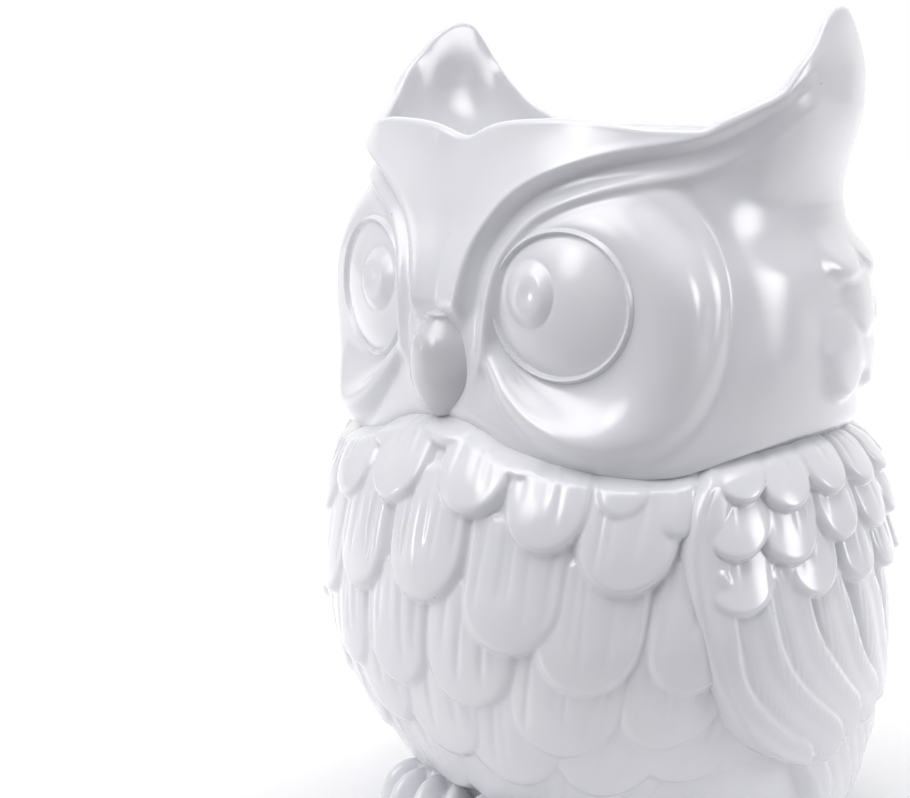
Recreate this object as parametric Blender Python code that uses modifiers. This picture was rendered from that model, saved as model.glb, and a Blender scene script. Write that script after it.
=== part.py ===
"""Owl planter in white glazed stoneware, built from its separately moulded members."""
import math

import bmesh
import bpy
import numpy as np
from mathutils import Matrix, Vector

# Driving dimensions, in metres. The owl faces -Y, its own left side is +X, and it stands on z = 0.
GAP = 0.0003                # clearance left at every luted seam
WALL = 0.0052               # thickness of the cast wall
RIM_Z = 0.2530              # lip of the open head, front and back
TIP_Z = 0.2915              # tip of each ear tuft
TIP_ANGLE = 99.0            # direction of the ear tip, degrees from straight ahead
FLOOR_Z = 0.0110            # top of the vessel's floor
RECESS_Z = 0.0040           # underside of the floor, inside the foot ring
DRAIN_R = 0.0065            # drain hole
PLUG_FLANGE_R = 0.0115      # flange of the drain plug
EYE = Vector((0.0432, -0.0714, 0.1985))   # centre of the left eye's ring
EYE_SPLAY = 17.2            # outward turn of each eye, degrees
EYE_R = 0.0245              # radius of the eye's raised ring
PUPIL = (-0.0125, 0.0035)   # centre of the pupil boss in the eye's own plane
STEPS = 48                  # segments round the body and head

BREAST = [  # height, outer radius of the belly in front
    (0.0000, 0.0560), (0.0040, 0.0578), (0.0120, 0.0615), (0.0206, 0.0670), (0.0300, 0.0765),
    (0.0460, 0.0870), (0.0660, 0.0940), (0.0820, 0.0972), (0.0970, 0.0982), (0.1190, 0.0970),
    (0.1350, 0.0935), (0.1440, 0.0885), (0.1490, 0.0835),
]
BACK = [  # height, outer radius under the wings and tail
    (0.0000, 0.0870), (0.0040, 0.0885), (0.0200, 0.0915), (0.0310, 0.0930), (0.0540, 0.0950),
    (0.0870, 0.0962), (0.1230, 0.0948), (0.1380, 0.0912), (0.1490, 0.0835),
]
LEVELS = [0.0, 0.004, 0.012, 0.0206, 0.030, 0.046, 0.066, 0.082, 0.097, 0.119, 0.135, 0.144, 0.149]
HEAD = [  # height, half width of the head
    (0.1493, 0.0835), (0.1560, 0.0865), (0.1650, 0.0882), (0.1800, 0.0885), (0.1950, 0.0878),
    (0.2100, 0.0855), (0.2220, 0.0830), (0.2350, 0.0812), (0.2450, 0.0805), (0.2530, 0.0805),
]


def clear_scene():
    for obj in list(bpy.data.objects):
        bpy.data.objects.remove(obj, do_unlink=True)


def make_collection(name, hidden=False):
    coll = bpy.data.collections.new(name)
    bpy.context.scene.collection.children.link(coll)
    coll.hide_render = hidden
    return coll


def make_material(name, colour, roughness, coat=0.0):
    mat = bpy.data.materials.new(name)
    mat.use_nodes = True
    shader = mat.node_tree.nodes["Principled BSDF"]
    shader.inputs["Base Color"].default_value = (*colour, 1.0)
    shader.inputs["Roughness"].default_value = roughness
    shader.inputs["Coat Weight"].default_value = coat
    mat.diffuse_color = (*colour, 1.0)
    return mat


def body_radius(angle, z):
    """Distance from the owl's axis to the belly: full behind, tucked in towards the feet in front."""
    front = float(np.interp(z, [p[0] for p in BREAST], [p[1] for p in BREAST]))
    back = float(np.interp(z, [p[0] for p in BACK], [p[1] for p in BACK]))
    turn = abs(math.degrees(math.atan2(math.sin(angle), math.cos(angle))))
    share = min(1.0, max(0.0, (turn - 55.0) / 40.0))
    share = share * share * (3.0 - 2.0 * share)
    return front + (back - front) * share


def belly_face(angle, z):
    """Distance to the belly as it is built, in flat facets between its levels and directions."""
    step = 2.0 * math.pi / STEPS
    start = math.floor(angle / step) * step
    near = float(np.interp(z, LEVELS, [body_radius(start, h) for h in LEVELS]))
    far = float(np.interp(z, LEVELS, [body_radius(start + step, h) for h in LEVELS]))
    across = near * math.sin(angle - start) + far * math.sin(start + step - angle)
    return near * far * math.sin(step) / across


def ear_flare(angle, z):
    """How far the head spreads outwards below the ear tufts, growing towards the lip."""
    at = [0, 48, 60, 66, 72, 78, 86, 99, 112, 126, 150, 166, 180]
    out = [0, 0, 0.0032, 0.0056, 0.0084, 0.0116, 0.0130, 0.0126, 0.0116, 0.0086, 0.0020, 0, 0]
    turn = abs(math.degrees(math.remainder(angle, 2 * math.pi)))
    rise = min(max((z - 0.226) / 0.036, 0.0), 1.0)
    return float(np.interp(turn, at, out)) * rise * rise * (3.0 - 2.0 * rise)


def head_radius(angle, z):
    """Distance from the owl's axis to the head's surface; angle in radians from straight ahead."""
    half = float(np.interp(z, [p[0] for p in HEAD], [p[1] for p in HEAD]))
    ahead = math.cos(angle) > 0.0
    depth = half * (0.855 if ahead else 1.0)
    power = 2.4 if ahead else 2.1
    side = abs(math.sin(angle) / half) ** power + abs(math.cos(angle) / depth) ** power
    return side ** (-1.0 / power) + ear_flare(angle, z)


def rim_height(degrees):
    """Top edge of the open head, rising into the ear tufts."""
    at = [0, 57, 62, 66, 71, 76.5, 81, 86, 91, 96.5, TIP_ANGLE, 102, 105.5, 109.5, 114, 120, 129, 180]
    top = [0.2530, 0.2530, 0.2546, 0.2572, 0.2607, 0.2648, 0.2722, 0.2795, 0.2866, 0.2905, TIP_Z,
           0.2908, 0.2860, 0.2780, 0.2690, 0.2600, 0.2542, 0.2530]
    return float(np.interp(abs(degrees), at, top))


def polar(angle, radius, z):
    return Vector((math.sin(angle) * radius, -math.cos(angle) * radius, z))


def finish(name, bm, coll, mat, smooth=True):
    bmesh.ops.remove_doubles(bm, verts=bm.verts, dist=0.000001)
    bmesh.ops.recalc_face_normals(bm, faces=bm.faces)
    mesh = bpy.data.meshes.new(name)
    bm.to_mesh(mesh)
    bm.free()
    if smooth:
        for face in mesh.polygons:
            face.use_smooth = True
    obj = bpy.data.objects.new(name, mesh)
    coll.objects.link(obj)
    if mat is not None:
        mesh.materials.append(mat)
    return obj


def turned(name, profile, coll, mat, steps):
    """Revolve a profile of (radius, height), axis to axis, about Z with the Screw modifier."""
    mesh = bpy.data.meshes.new(name)
    verts = [(r, 0.0, z) for r, z in profile]
    edges = [(i, i + 1) for i in range(len(verts) - 1)]
    mesh.from_pydata(verts, edges, [])
    obj = bpy.data.objects.new(name, mesh)
    coll.objects.link(obj)
    if mat is not None:
        mesh.materials.append(mat)
    screw = obj.modifiers.new("turn", "SCREW")
    screw.axis = "Z"
    screw.steps = steps
    screw.render_steps = steps
    screw.use_merge_vertices = True
    screw.merge_threshold = 0.00001
    screw.use_smooth_shade = True
    return obj


def boolean(obj, other, operation):
    mod = obj.modifiers.new(operation.lower(), "BOOLEAN")
    mod.operation = operation
    mod.solver = "EXACT"
    if isinstance(other, bpy.types.Collection):
        mod.operand_type = "COLLECTION"
        mod.collection = other
    else:
        mod.object = other
    return mod


def as_cutter(obj):
    obj.display_type = "WIRE"
    obj.hide_render = True
    return obj


def seated(name, rings, host, coll, mat, wrap, centre=None, least=0.0010, skip=(),
           gap=GAP):
    """Close a sculpted surface into a solid whose back lies a gap off the host surface.

    rings is a list of equally long rows of points. wrap joins each row's ends, and centre, if given,
    closes the first row with a fan. skip lists rows that the back does without.
    """
    bm = bmesh.new()

    def pair(point):
        angle = math.atan2(point.x, -point.y)
        seat = host(angle, point.z) + gap
        out = max(math.hypot(point.x, point.y), seat + least)
        return bm.verts.new(polar(angle, out, point.z)), bm.verts.new(polar(angle, seat, point.z))

    rows = [[pair(p) for p in ring] for ring in rings]
    count = len(rings[0])
    span = count if wrap else count - 1
    back = [row for i, row in enumerate(rows) if i not in skip]
    for side, used in ((0, rows), (1, back)):
        for near, far in zip(used[:-1], used[1:]):
            for j in range(span):
                k = (j + 1) % count
                bm.faces.new((near[j][side], near[k][side], far[k][side], far[j][side]))
    walls = [rows[-1]] if centre is not None else [rows[0], rows[-1]]
    for row in walls:
        for j in range(span):
            k = (j + 1) % count
            bm.faces.new((row[j][0], row[k][0], row[k][1], row[j][1]))
    if not wrap:
        for j in (0, count - 1):
            for i in range(len(rows) - 1):
                bm.faces.new((rows[i][j][0], rows[i + 1][j][0], rows[i + 1][j][1], rows[i][j][1]))
    if centre is not None:
        hub = pair(centre)
        for side, used in ((0, rows), (1, back)):
            for j in range(span):
                bm.faces.new((hub[side], used[0][j][side], used[0][(j + 1) % count][side]))
    for v in [v for v in bm.verts if not v.link_faces]:
        bm.verts.remove(v)
    return finish(name, bm, coll, mat)


def scale_form(name, angle, z, host, size, lean, coll):
    """One overlapping feather: a flattened egg sunk into the host surface, its tip down and raised."""
    bm = bmesh.new()
    bmesh.ops.create_uvsphere(bm, u_segments=10, v_segments=6, radius=1.0)
    half_w, half_h, lift, root = size
    for v in bm.verts:
        taper = 1.0 - 0.16 * v.co.y
        depth = v.co.z * (lift if v.co.z > 0.0 else root)
        v.co = Vector((v.co.x * half_w * taper, v.co.y * half_h, depth))
    out = Vector((math.sin(angle), -math.cos(angle), 0.0))
    up = (polar(angle, host(angle, z + 0.004), z + 0.004)
          - polar(angle, host(angle, z - 0.004), z - 0.004)).normalized()
    side = up.cross(out).normalized()
    face = side.cross(up).normalized()
    turn = Matrix((side, up, face)).transposed().to_4x4()
    tilt = Matrix.Rotation(math.radians(lean), 4, "X")
    place = Matrix.Translation(polar(angle, host(angle, z) - 0.3 * lift, z))
    bmesh.ops.transform(bm, matrix=place @ turn @ tilt, verts=bm.verts)
    obj = finish(name, bm, coll, None)
    return as_cutter(obj)


def loft(name, rows, coll, mat):
    """Closed wall from rings of points, the last ring joined back to the first."""
    bm = bmesh.new()
    grid = [[bm.verts.new(p) for p in row] for row in rows]
    for i in range(len(grid)):
        low, high = grid[i], grid[(i + 1) % len(grid)]
        for j in range(len(low)):
            k = (j + 1) % len(low)
            bm.faces.new((low[j], low[k], high[k], high[j]))
    return finish(name, bm, coll, mat)


def ring(radius, z):
    """One ring of points; radius is a number or a function of the direction."""
    turns = [2.0 * math.pi * i / STEPS for i in range(STEPS)]
    reach = radius if callable(radius) else (lambda angle: radius)
    return [polar(a, reach(a), z) for a in turns]


def body_shell(coll, mat):
    """Belly of the vessel: foot ring, floor with a drain hole, and a wall open at the neck."""
    def wall(z, inset):
        return ring(lambda a: body_radius(a, z) - inset, z)

    rows = [wall(z, 0.0) for z in LEVELS]
    rows += [wall(z, WALL) for z in (0.149, 0.135, 0.119, 0.097, 0.072, 0.046, 0.030, 0.0206)]
    rows.append(ring(lambda a: body_radius(a, 0.013) - 0.0115, 0.0130))
    rows.append(ring(lambda a: body_radius(a, 0.0) - 0.0160, FLOOR_Z))
    rows += [ring(DRAIN_R, FLOOR_Z), ring(DRAIN_R, RECESS_Z)]
    rows.append(ring(lambda a: body_radius(a, 0.0) - 0.0120, RECESS_Z))
    rows.append(ring(lambda a: body_radius(a, 0.0) - 0.0105, 0.0))
    obj = loft("body_shell", rows, coll, mat)
    feathers = make_collection("chest feather forms", hidden=True)
    rows = [  # height, directions in degrees, half width, half height, lift and root
        (0.1430, (-15.5, 0, 15.5), (0.0112, 0.0125, 0.0050, 0.0016)),
        (0.1310, (-42, -28, -14, 0, 14, 28, 42), (0.0122, 0.0165, 0.0056, 0.0016)),
        (0.1070, (-45.5, -33.5, -20.5, -7, 7, 20.5, 33.5, 45.5), (0.0125, 0.0180, 0.0058, 0.0016)),
        (0.0820, (-42, -28, -14, 0, 14, 28, 42), (0.0122, 0.0180, 0.0056, 0.0016)),
        (0.0590, (-49, -35, -21, -7, 7, 21, 35, 49), (0.0114, 0.0165, 0.0050, 0.0014)),
        (0.0385, (-42, -28, -14, 0, 14, 28, 42), (0.0098, 0.0140, 0.0044, 0.0012)),
    ]
    for level, (z, directions, size) in enumerate(rows):
        for i, degrees in enumerate(directions):
            sag = 0.008 * (degrees / 50.0) ** 2
            scale_form("chest_form_%d_%02d" % (level, i), math.radians(degrees), z - sag,
                       body_radius, size, -5.0, feathers)
    boolean(obj, feathers, "UNION")
    return obj


def head_shell(coll, mat):
    """Hollow head, open at the top; its lip is level and carries the two ear tufts."""
    def wall(z, inset, top=None):
        return ring(lambda a: head_radius(a, z) - inset, z if top is None else top)

    rows = [wall(z, 0.0) for z, _ in HEAD]
    rows.append(wall(RIM_Z, 0.0016, RIM_Z + 0.0012))
    rows.append(wall(RIM_Z, WALL - 0.0016, RIM_Z + 0.0012))
    rows += [wall(z, WALL) for z in (RIM_Z, 0.2350, 0.2150, 0.1900, 0.1650, HEAD[0][0])]
    return loft("head_shell", rows, coll, mat)


def ear_tuft(name, sign, coll, mat):
    """Horn-shaped tuft that carries the lip up and outwards to a point."""
    bm = bmesh.new()
    stations = [57, 62, 68, 74, 80, 86, 91, 95, 98, TIP_ANGLE, 101, 104, 108, 113, 119, 125]
    shares = [0.0, 0.34, 0.67, 0.9, 1.0]
    foot = RIM_Z + 0.0012 + GAP
    columns = []
    for degrees in stations:
        angle = math.radians(degrees) * sign
        top = max(rim_height(degrees) + 0.0015, foot + 0.0016)
        outer, inner = [], []
        for share in shares:
            z = foot + (top - foot) * share
            lift = z - RIM_Z
            lean = float(np.interp(lift, [0.0, 0.009, 0.017, 0.027, 0.0385],
                                   [0.0, 0.0017, 0.0015, -0.0002, -0.0028]))
            mid = head_radius(angle, RIM_Z) - 0.5 * WALL + lean
            half = 0.5 * (WALL - 0.0008) * (1.0 - 0.62 * lift / (TIP_Z - RIM_Z))
            half *= (0.45 if share == 1.0 else 1.0)
            outer.append(bm.verts.new(polar(angle, mid + half, z)))
            inner.append(bm.verts.new(polar(angle, mid - half, z)))
        columns.append(outer + inner[::-1])
    for a, b in zip(columns[:-1], columns[1:]):
        for i in range(len(a)):
            k = (i + 1) % len(a)
            bm.faces.new((a[i], a[k], b[k], b[i]))
    bm.faces.new(columns[0])
    bm.faces.new(columns[-1])
    return finish(name, bm, coll, mat)


def eye_frame(sign):
    splay = math.radians(EYE_SPLAY)
    centre = Vector((EYE.x * sign, EYE.y, EYE.z))
    normal = Vector((math.sin(splay) * sign, -math.cos(splay), 0.0))
    across = Vector((math.cos(splay) * sign, math.sin(splay), 0.0))
    return centre, normal, across


def eye(name, sign, coll, mat):
    """Domed eye with a raised ring round it and a round pupil boss set towards the beak."""
    centre, normal, across = eye_frame(sign)

    def point(radius, turn, height):
        flat = across * (radius * math.cos(turn)) + Vector((0, 0, radius * math.sin(turn)))
        return centre + flat + normal * height

    def dome(radius, turn):
        height = 0.0052 * (1.0 - (radius / 0.0225) ** 2)
        x = radius * math.cos(turn) - PUPIL[0]
        z = radius * math.sin(turn) - PUPIL[1]
        boss = 1.0 - (x * x + z * z) / 0.0096 ** 2
        return height + (0.0030 * math.sqrt(boss) if boss > 0.0 else 0.0)

    turns = [2.0 * math.pi * i / 32 for i in range(32)]
    radii = [0.0040, 0.0080, 0.0120, 0.0158, 0.0192, 0.0222]
    rings = [[point(r, t, dome(r, t)) for t in turns] for r in radii]
    for r, h in ((0.0228, 0.0012), (0.0237, 0.0016), (EYE_R, 0.0006)):
        rings.append([point(r, t, h) for t in turns])
    hub = point(0.0, 0.0, dome(0.0, 0.0))
    return seated(name, rings, head_radius, coll, mat, wrap=True, centre=hub, skip=(0, 2, 4, 5, 6, 7))


def disc_reach(turn):
    """Outline of the facial disc round the eye: broad outwards and below, narrow by brow and beak."""
    at = [0, 45, 71, 100, 127, 157, 180, 200, 225, 250, 270, 315, 360]
    reach = [44.5, 41.0, 38.0, 32.0, 27.9, 26.2, 27.0, 28.5, 35.0, 44.0, 48.0, 48.0, 44.5]
    return float(np.interp(math.degrees(turn) % 360.0, at, reach)) * 0.001


def facial_disc(name, sign, coll, mat):
    """Soft raised rim of the face, swelling into the cheek below the eye."""
    centre, normal, across = eye_frame(sign)
    turns = [2.0 * math.pi * i / 36 for i in range(36)]
    rings = []
    for share in (0.0, 0.14, 0.36, 0.60, 0.84, 1.0):
        row = []
        for turn in turns:
            start = EYE_R + 0.0005
            radius = start + (disc_reach(turn) - start) * share
            flat = centre + across * (radius * math.cos(turn))
            flat.z += radius * math.sin(turn)
            angle = math.atan2(flat.x, -flat.y)
            low = max(0.0, -math.sin(turn))
            out = max(0.0, math.cos(turn))
            swell = 0.0050 + 0.0052 * low + 0.0024 * out * (1.0 - low)
            swell *= math.sin(math.pi * share) ** 0.8
            seat = head_radius(angle, flat.z) + GAP
            edge = (1.0 - share) * max(0.0, math.hypot(flat.x, flat.y) - seat)
            row.append(polar(angle, seat + edge + swell + 0.0012, flat.z))
        rings.append(row)
    return seated(name, rings, head_radius, coll, mat, wrap=True, skip=(1, 4), gap=0.0010)


def brow_line(share):
    """Crest of the brow as (degrees from straight ahead, height)."""
    at = [0.0, 0.12, 0.28, 0.45, 0.65, 0.85, 1.0]
    degrees = [8.0, 10.0, 16.0, 27.0, 44.0, 58.0, 68.0]
    heights = [0.1955, 0.2110, 0.2275, 0.2385, 0.2435, 0.2455, 0.2475]
    return float(np.interp(share, at, degrees)), float(np.interp(share, at, heights))


def brow(name, sign, coll, mat):
    """Brow ridge that runs from the top of the beak over the eye and out to the ear tuft."""
    profile = [(-1.0, 0.02), (-0.55, 0.45), (-0.1, 0.92), (0.2, 1.0), (0.6, 0.6), (1.0, 0.02)]
    rings = []
    for i in range(15):
        share = i / 14.0
        degrees, z = brow_line(share)
        ahead_deg, ahead_z = brow_line(min(1.0, share + 0.05))
        behind_deg, behind_z = brow_line(max(0.0, share - 0.05))
        along = Vector((math.radians(ahead_deg - behind_deg) * 0.08, ahead_z - behind_z)).normalized()
        across = Vector((along.y, -along.x))
        half = 0.0034 + 0.0030 * math.sin(math.pi * min(1.0, share * 1.1 + 0.05))
        height = 0.0068 * (1.0 - 0.70 * share)
        row = []
        for offset, share_up in profile:
            angle = math.radians(degrees) - across.x * offset * half / 0.08
            here = z - across.y * offset * half
            out = head_radius(angle, here) + GAP + 0.001 + height * share_up
            row.append(polar(angle * sign, out, here))
        rings.append(row)
    return seated(name, rings, head_radius, coll, mat, wrap=False)


def beak(coll, mat):
    """Teardrop beak, pointed below."""
    turns = [2.0 * math.pi * i / 20 for i in range(20)]

    def outline(turn):
        low = max(0.0, -math.sin(turn))
        half = 0.0118 * (1.0 - 0.46 * low ** 2)
        return half * math.cos(turn), 0.1765 + 0.0165 * math.sin(turn)

    rings = []
    for share in (0.3, 0.58, 0.82, 0.95, 1.0):
        row = []
        for turn in turns:
            x, z = outline(turn)
            x, z = x * share, 0.1765 + (z - 0.1765) * share
            rise = 0.0115 * math.sqrt(max(0.0, 1.0 - share ** 2)) * (1.0 - 0.15 * (z - 0.1765) / 0.0165)
            base = head_radius(0.0, z) + 0.0016
            row.append(Vector((x, -(base + rise), z)))
        rings.append(row)
    hub = Vector((0.0, -(head_radius(0.0, 0.1765) + 0.0131), 0.1765))
    return seated("beak", rings, head_radius, coll, mat, wrap=True, centre=hub, skip=(0, 2, 3))


def wing_front(z):
    heights = [0.0180, 0.0310, 0.0450, 0.0590, 0.0880, 0.1170, 0.1465]
    return float(np.interp(z, heights, [122.0, 100.0, 85.0, 71.0, 58.5, 55.0, 58.0]))


def wing_radius(z):
    """Distance from the axis to the wing's face between its feathers' crests."""
    heights = [0.0100, 0.0310, 0.0540, 0.0870, 0.1230, 0.1380, 0.1465]
    return float(np.interp(z, heights, [0.0962, 0.0980, 0.1000, 0.1010, 0.0994, 0.0960, 0.0908]))


def wing_back(z):
    """Rear edge: the wings meet down the middle of the back and part above the tail."""
    return float(np.interp(z, [0.066, 0.097], [149.6, 178.6]))


def wing(name, sign, coll, mat):
    """Folded wing: five long feathers sweeping down and back under a shoulder of short coverts."""
    heights = [0.1465, 0.144, 0.135, 0.127, 0.119, 0.108, 0.097, 0.082, 0.066, 0.056, 0.046,
               0.038, 0.030, 0.0206]
    columns = [(0.0, -0.55), (0.045, 0.55)]
    for k in range(5):
        start = 0.045 + 0.191 * k
        columns += [(start + 0.030, 1.0), (start + 0.085, 0.80), (start + 0.140, 0.45)]
        columns += [(start + 0.186, 0.0)]
    rings = []
    for z in heights:
        front = wing_front(z)
        depth = float(np.interp(z, [0.018, 0.09, 0.115, 0.130, 0.1465], [1.0, 1.0, 0.35, 0.15, 0.0]))
        row = []
        for share, relief in columns:
            angle = math.radians(front + (wing_back(z) - front) * min(1.0, share))
            row.append(polar(angle * sign, wing_radius(z) + 0.0022 * relief * depth, z))
        rings.append(row)
    obj = seated(name, rings, belly_face, coll, mat, wrap=False, least=0.0020, gap=0.0013)
    coverts = make_collection(name + " covert forms", hidden=True)

    def surface(angle, z):
        return wing_radius(z)

    spots = [
        (67.0, 0.1310), (82.0, 0.1320), (97.0, 0.1320), (112.0, 0.1320), (127.0, 0.1320),
        (142.0, 0.1320), (157.0, 0.1320),
        (74.0, 0.1130), (89.0, 0.1150), (104.0, 0.1160), (119.0, 0.1160), (134.0, 0.1160),
        (149.0, 0.1160),
    ]
    for i, (degrees, z) in enumerate(spots):
        scale_form("%s_covert_%02d" % (name, i), math.radians(degrees) * sign, z, surface,
                   (0.0108, 0.0110, 0.0040, 0.0008), -6.0, coverts)
    boolean(obj, coverts, "UNION")
    return obj


def tail(coll, mat):
    """Tail between the wing tips: five feathers that reach almost to the ground."""
    heights = [0.066, 0.056, 0.046, 0.038, 0.030, 0.0206, 0.012, 0.004]
    rings = []
    for z in heights:
        row = []
        for k in range(5):
            for share, relief in ((0.02, 0.0), (0.35, 1.0), (0.65, 1.0), (0.98, 0.0)):
                degrees = 150.4 + 59.2 * (k + share) / 5.0
                lift = 0.0020 * relief * float(np.interp(z, [0.03, 0.064], [1.0, 0.3]))
                radius = float(np.interp(z, [0.003, 0.03, 0.064], [0.0990, 0.0985, 0.1000])) + lift
                row.append(polar(math.radians(degrees), radius, z))
        rings.append(row)
    return seated("tail", rings, belly_face, coll, mat, wrap=False, least=0.0020, gap=0.0006)


def foot(name, sign, coll, mat):
    """Foot with four rounded toes showing from under the breast feathers."""
    bm = bmesh.new()
    bmesh.ops.create_uvsphere(bm, u_segments=14, v_segments=8, radius=1.0)
    for v in bm.verts:
        v.co = Vector((v.co.x * 0.0200, v.co.y * 0.0200, v.co.z * 0.0220 + 0.0060))
        v.co += Vector((0.0280 * sign, -0.0640, 0.0))
    obj = finish(name, bm, coll, mat)
    toes = make_collection(name + " toe forms", hidden=True)
    for i, (dx, dy, turn) in enumerate(((-0.0150, -0.0735, 24), (-0.0050, -0.0800, 8),
                                        (0.0055, -0.0790, -8), (0.0155, -0.0715, -26))):
        toe = bmesh.new()
        bmesh.ops.create_uvsphere(toe, u_segments=12, v_segments=7, radius=1.0)
        for v in toe.verts:
            v.co = Vector((v.co.x * 0.0062, v.co.y * 0.0150, v.co.z * 0.0125))
        spin = Matrix.Rotation(math.radians(-turn), 4, "Z")
        place = Matrix.Translation(Vector(((0.0280 + dx) * sign, dy, 0.0070)))
        spin = spin if sign > 0 else Matrix.Rotation(math.radians(turn), 4, "Z")
        bmesh.ops.transform(toe, matrix=place @ spin, verts=toe.verts)
        as_cutter(finish("%s_toe_%d" % (name, i), toe, toes, None))
    boolean(obj, toes, "UNION")
    boolean(obj, bpy.data.objects["ground_cut"], "DIFFERENCE")
    boolean(obj, bpy.data.objects["body_cut"], "DIFFERENCE")
    return obj


def cutters_for_feet(cutters):
    bm = bmesh.new()
    bmesh.ops.create_cube(bm, size=1.0)
    for v in bm.verts:
        v.co = Vector((v.co.x * 0.40, v.co.y * 0.40, v.co.z * 0.05 - 0.025))
    as_cutter(finish("ground_cut", bm, cutters, None, smooth=False))
    outer = [(0.0, BREAST[-1][0])]
    outer += [(r + (0.0008 if z < 0.0130 else 0.0052), z) for z, r in reversed(BREAST)]
    outer += [(BREAST[0][1] + 0.0006, -0.01), (0.0, -0.01)]
    as_cutter(turned("body_cut", outer, cutters, None, STEPS))


def drain_plug(coll, mat):
    """Rubber stopper: stem in the drain hole, flange on the floor, grip knob above."""
    stem = DRAIN_R - GAP
    seat = FLOOR_Z + GAP
    profile = [
        (0.0, seat + 0.0092), (0.0034, seat + 0.0086), (0.0042, seat + 0.0072), (0.0032, seat + 0.0046),
        (0.0036, seat + 0.0032), (PLUG_FLANGE_R - 0.0008, seat + 0.0026), (PLUG_FLANGE_R, seat + 0.0016),
        (PLUG_FLANGE_R, seat), (stem, seat), (stem, RECESS_Z + 0.0016), (stem - 0.0008, RECESS_Z + 0.0006),
        (0.0, RECESS_Z + 0.0006),
    ]
    return turned("drain_plug", profile, coll, mat, 24)


def build():
    clear_scene()
    parts = make_collection("owl planter")
    cutters = make_collection("cutters", hidden=True)
    glaze = make_material("white glaze", (0.86, 0.86, 0.87), 0.08, coat=1.0)
    rubber = make_material("grey rubber", (0.20, 0.20, 0.21), 0.55)
    cutters_for_feet(cutters)
    body_shell(parts, glaze)
    head_shell(parts, glaze)
    beak(parts, glaze)
    tail(parts, glaze)
    for side, sign in (("left", 1), ("right", -1)):
        ear_tuft(side + "_ear_tuft", sign, parts, glaze)
        brow(side + "_brow", sign, parts, glaze)
        eye(side + "_eye", sign, parts, glaze)
        facial_disc(side + "_facial_disc", sign, parts, glaze)
        wing(side + "_wing", sign, parts, glaze)
        foot(side + "_foot", sign, parts, glaze)
    drain_plug(parts, rubber)


build()
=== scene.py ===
import math

import bmesh
import bpy
import numpy as np
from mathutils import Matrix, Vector


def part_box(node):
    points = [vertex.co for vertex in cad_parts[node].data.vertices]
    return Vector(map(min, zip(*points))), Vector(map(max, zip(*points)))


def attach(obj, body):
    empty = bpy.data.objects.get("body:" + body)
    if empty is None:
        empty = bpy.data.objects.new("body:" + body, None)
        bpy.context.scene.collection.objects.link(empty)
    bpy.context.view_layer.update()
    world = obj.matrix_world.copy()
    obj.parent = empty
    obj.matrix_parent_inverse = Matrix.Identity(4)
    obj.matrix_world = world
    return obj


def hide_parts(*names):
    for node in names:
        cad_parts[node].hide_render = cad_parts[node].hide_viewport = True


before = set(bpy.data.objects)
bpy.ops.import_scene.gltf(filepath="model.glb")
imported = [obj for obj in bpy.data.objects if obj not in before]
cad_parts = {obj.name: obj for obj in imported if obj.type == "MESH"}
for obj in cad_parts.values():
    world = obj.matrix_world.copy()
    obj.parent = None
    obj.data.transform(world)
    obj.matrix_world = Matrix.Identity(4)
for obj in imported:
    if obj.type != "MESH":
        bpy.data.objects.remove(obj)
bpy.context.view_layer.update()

MM = 0.001


def box_mm(node):
    low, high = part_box(node)
    return np.array(low) / MM, np.array(high) / MM


HEAD_LOW, HEAD_HIGH = box_mm("head_shell")
EYE_LOW, EYE_HIGH = box_mm("left_eye")
BEAK_LOW, BEAK_HIGH = box_mm("beak")
PLUG_LOW = box_mm("drain_plug")[0]
NECK = HEAD_LOW[2]                       # seam between the body and the head
LIP = HEAD_HIGH[2] + 1.2                 # lip of the open head, straight ahead
TIP = box_mm("left_ear_tuft")[1][2] - 1.5
WALL = 5.0                               # thickness of the cast wall
EYE_SPLAY = math.radians(17.2)           # outward turn of each eye
EYE_R = 24.5                             # radius of the raised ring
EYE = np.array([(EYE_LOW[0] + EYE_HIGH[0]) / 2, -71.4, (EYE_LOW[2] + EYE_HIGH[2]) / 2])
PUPIL = (-9.4, 3.4)                      # pupil boss, in the eye's own plane
PUPIL_R = 10.2
FRONT_TURN = 66.0                        # the grids are spaced for the front up to this turn


# ---- curves and small tools ---------------------------------------------------------------------

def smooth(x, start=0.0, end=1.0):
    t = np.clip((x - start) / (end - start), 0.0, 1.0)
    return t * t * (3.0 - 2.0 * t)


def spline(points):
    """Natural cubic through (x, y) points, held level outside them."""
    xs, ys = np.array(points, float).T
    n = len(xs)
    gap = np.diff(xs)
    matrix = np.eye(n)
    rhs = np.zeros(n)
    for i in range(1, n - 1):
        matrix[i, i - 1:i + 2] = gap[i - 1], 2.0 * (gap[i - 1] + gap[i]), gap[i]
        rhs[i] = 6.0 * ((ys[i + 1] - ys[i]) / gap[i] - (ys[i] - ys[i - 1]) / gap[i - 1])
    bend = np.linalg.solve(matrix, rhs)

    def at(x):
        x = np.clip(x, xs[0], xs[-1])
        i = np.clip(np.searchsorted(xs, x) - 1, 0, n - 2)
        h = gap[i]
        a = (xs[i + 1] - x) / h
        b = 1.0 - a
        cubic = ((a ** 3 - a) * bend[i] + (b ** 3 - b) * bend[i + 1]) * h * h / 6.0
        return a * ys[i] + b * ys[i + 1] + cubic

    return at


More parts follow.
